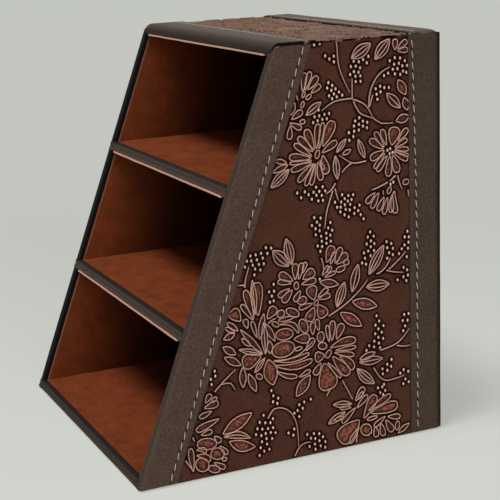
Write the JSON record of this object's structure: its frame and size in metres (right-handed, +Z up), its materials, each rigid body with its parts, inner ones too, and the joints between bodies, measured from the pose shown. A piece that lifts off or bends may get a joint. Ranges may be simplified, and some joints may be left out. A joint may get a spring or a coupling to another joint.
{
  "type": "remote control caddy",
  "caption": "Free-standing caddy for remote controls: a slanted-front tower of open suede-lined compartments, covered in stitched leatherette with embossed flower panels.",
  "frame": {"origin": "centre of the footprint, on the surface that the caddy stands on", "axes": "+Z up, compartments open towards -Y, +X to the right seen from the open front"},
  "size_m": [0.1508, 0.147, 0.1804],
  "materials": {
    "board": "pressed grey board",
    "suede_lining": "brushed suede",
    "plain_leatherette": "fine-grained, satin",
    "embossed_leatherette": "embossed, raised lines rubbed lighter",
    "thread": "twisted polyester thread",
    "base_pad": "felt"
  },
  "bodies": {
    "root": {"left_side_board": "board", "right_side_board": "board", "back_board": "board", "base_board": "board", "lower_shelf_board": "board", "upper_shelf_board": "board", "top_board": "board", "left_wall_lining": "suede_lining", "right_wall_lining": "suede_lining", "back_lining": "suede_lining", "lower_floor_lining": "suede_lining", "lower_ceiling_lining": "suede_lining", "middle_floor_lining": "suede_lining", "middle_ceiling_lining": "suede_lining", "upper_floor_lining": "suede_lining", "upper_ceiling_lining": "suede_lining", "left_front_band": "plain_leatherette", "right_front_band": "plain_leatherette", "top_front_band": "plain_leatherette", "top_rear_band": "plain_leatherette", "back_cover": "plain_leatherette", "base_edge_binding": "plain_leatherette", "lower_shelf_binding": "plain_leatherette", "upper_shelf_binding": "plain_leatherette", "left_embossed_panel": "embossed_leatherette", "right_embossed_panel": "embossed_leatherette", "top_embossed_panel": "embossed_leatherette", "left_front_seam": "thread", "left_rear_seam": "thread", "right_front_seam": "thread", "right_rear_seam": "thread", "top_front_seam": "thread", "top_rear_seam": "thread", "base_pad": "base_pad"}
  },
  "joints": []
}
